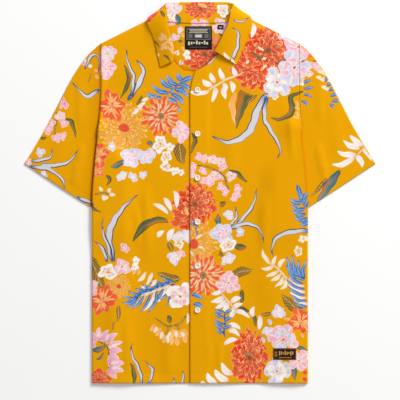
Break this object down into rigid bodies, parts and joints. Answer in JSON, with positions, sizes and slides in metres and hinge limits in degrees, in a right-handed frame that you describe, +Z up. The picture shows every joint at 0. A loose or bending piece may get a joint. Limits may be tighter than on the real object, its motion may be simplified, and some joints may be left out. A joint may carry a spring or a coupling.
{
  "type": "hawaiian shirt, short-sleeved, laid flat",
  "caption": "Short-sleeved camp-collar shirt in a bright flower and leaf print, buttoned and laid flat face up, its sides folded under.",
  "frame": {"origin": "on the surface the shirt lies on, under the middle of its outline (bottom centre of the bounding box)", "axes": "+Z up from the surface, out of the shirt's front; +Y from the hem towards the collar; +X from the shirt's right sleeve towards its left sleeve"},
  "size_m": [0.703, 0.762, 0.0131],
  "materials": {
    "printed_cotton": "matte",
    "button_resin": "satin",
    "black_label": "matte",
    "oxblood_label": "matte"
  },
  "bodies": {
    "root": {"back": "printed_cotton", "front_right": "printed_cotton", "front_left": "printed_cotton", "sleeve_right": "printed_cotton", "sleeve_left": "printed_cotton", "collar": "printed_cotton", "button_1": "button_resin", "button_2": "button_resin", "button_3": "button_resin", "button_4": "button_resin", "button_5": "button_resin", "button_6": "button_resin", "neck_label": "black_label", "size_tab": "black_label", "care_tab": "black_label", "hem_label": "oxblood_label"}
  },
  "joints": []
}
